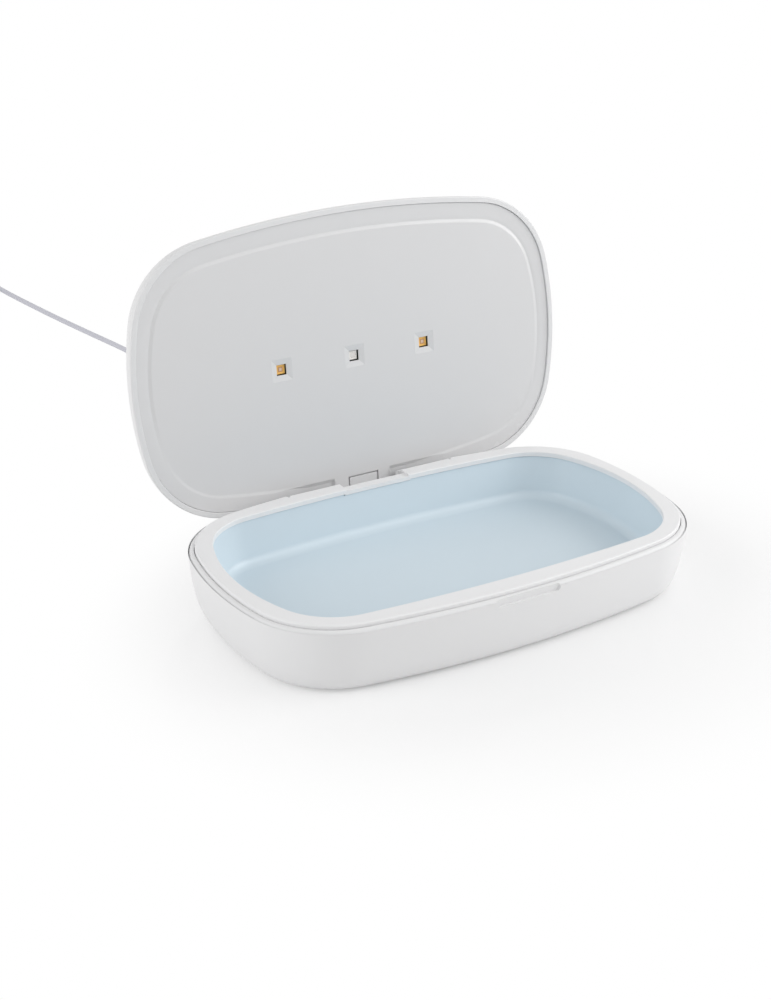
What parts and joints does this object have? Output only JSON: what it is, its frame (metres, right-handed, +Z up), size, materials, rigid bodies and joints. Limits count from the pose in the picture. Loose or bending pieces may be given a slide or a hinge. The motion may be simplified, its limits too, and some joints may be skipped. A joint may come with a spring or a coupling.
{
  "type": "ultraviolet sanitizer box",
  "caption": "Rounded white tabletop box with a hinged lid holding ultraviolet lamps, a moulded tray for a phone, a power button on top and a power lead.",
  "frame": {"origin": "on the table under the middle of the base, where the four feet stand; the base's flat underside is 0.8 mm above it", "axes": "+X along the box's length to the right as seen from the front, +Y to the back where the hinge is, +Z up; the lid is stored open on its stop"},
  "size_m": [0.2188, 0.6318, 0.1548],
  "materials": {
    "white_plastic": "satin moulded white",
    "liner_plastic": "glossy pale grey moulding",
    "tray_plastic": "satin pale blue-grey moulding",
    "grey_rubber": "matt rubber",
    "steel": "plated steel",
    "plug_metal": "drawn plated shell",
    "board_green": "solder mask",
    "board_black": "black solder mask",
    "sensor_glass": "drawn glass tube",
    "wire_jacket": "soft insulation",
    "cable_jacket": "smooth flexible jacket",
    "plug_moulding": "soft overmould",
    "black_plastic": "moulded",
    "light_guide": "translucent moulding",
    "pale_lamp": "clear dome on a white package",
    "amber_lamp": "gold package with a small window"
  },
  "bodies": {
    "base": {"base_shell": "white_plastic", "base_bezel": "white_plastic", "tray": "tray_plastic", "foot_front_left": "grey_rubber", "foot_rear_left": "grey_rubber", "foot_front_right": "grey_rubber", "foot_rear_right": "grey_rubber", "base_screw_front_left": "steel", "base_screw_rear_left": "steel", "base_screw_front_right": "steel", "base_screw_rear_right": "steel", "hinge_pin_left": "steel", "hinge_pin_right": "steel", "main_board": "board_green", "main_board_screw_left": "steel", "main_board_screw_right": "steel", "usb_socket": "plug_metal", "reed_switch": "sensor_glass", "reed_wires": "wire_jacket", "base_wires": "wire_jacket", "lead_plug_tongue": "plug_metal", "lead_plug_grip": "plug_moulding", "lead_strain_relief": "plug_moulding", "lead_run": "cable_jacket", "lead_coil": "cable_jacket", "cable_tie": "black_plastic", "supply_plug_relief": "plug_moulding", "supply_plug_grip": "plug_moulding", "supply_plug_shell": "plug_metal"},
    "lid": {"lid_shell": "white_plastic", "lid_liner": "liner_plastic", "hinge_wire_cover": "liner_plastic", "lamp_board": "board_black", "uv_lamp_left": "amber_lamp", "uv_lamp_centre": "pale_lamp", "uv_lamp_right": "amber_lamp", "lamp_board_screw_left": "steel", "lamp_board_screw_right": "steel", "lid_ribbon": "wire_jacket", "button_wires": "wire_jacket", "sensor_magnet": "steel", "indicator_ring": "light_guide", "button_switch": "black_plastic", "button_board": "board_green", "button_board_screw_left": "steel", "button_board_screw_right": "steel"},
    "button": {"power_button": "white_plastic", "switch_plunger": "black_plastic"}
  },
  "joints": [
    {"name": "lid_hinge", "type": "hinge", "parent": "base", "child": "lid", "pos_m": [0, 0.06235, 0.0261], "axis": [1, 0, 0], "range_deg": [0, 96.7]},
    {"name": "power_button_press", "type": "slide", "parent": "lid", "child": "button", "axis": [0, -0.9932, 0.1167], "range_m": [0, 0.0005], "stiffness_N_per_m": 400, "springref_m": -0.0005}
  ]
}
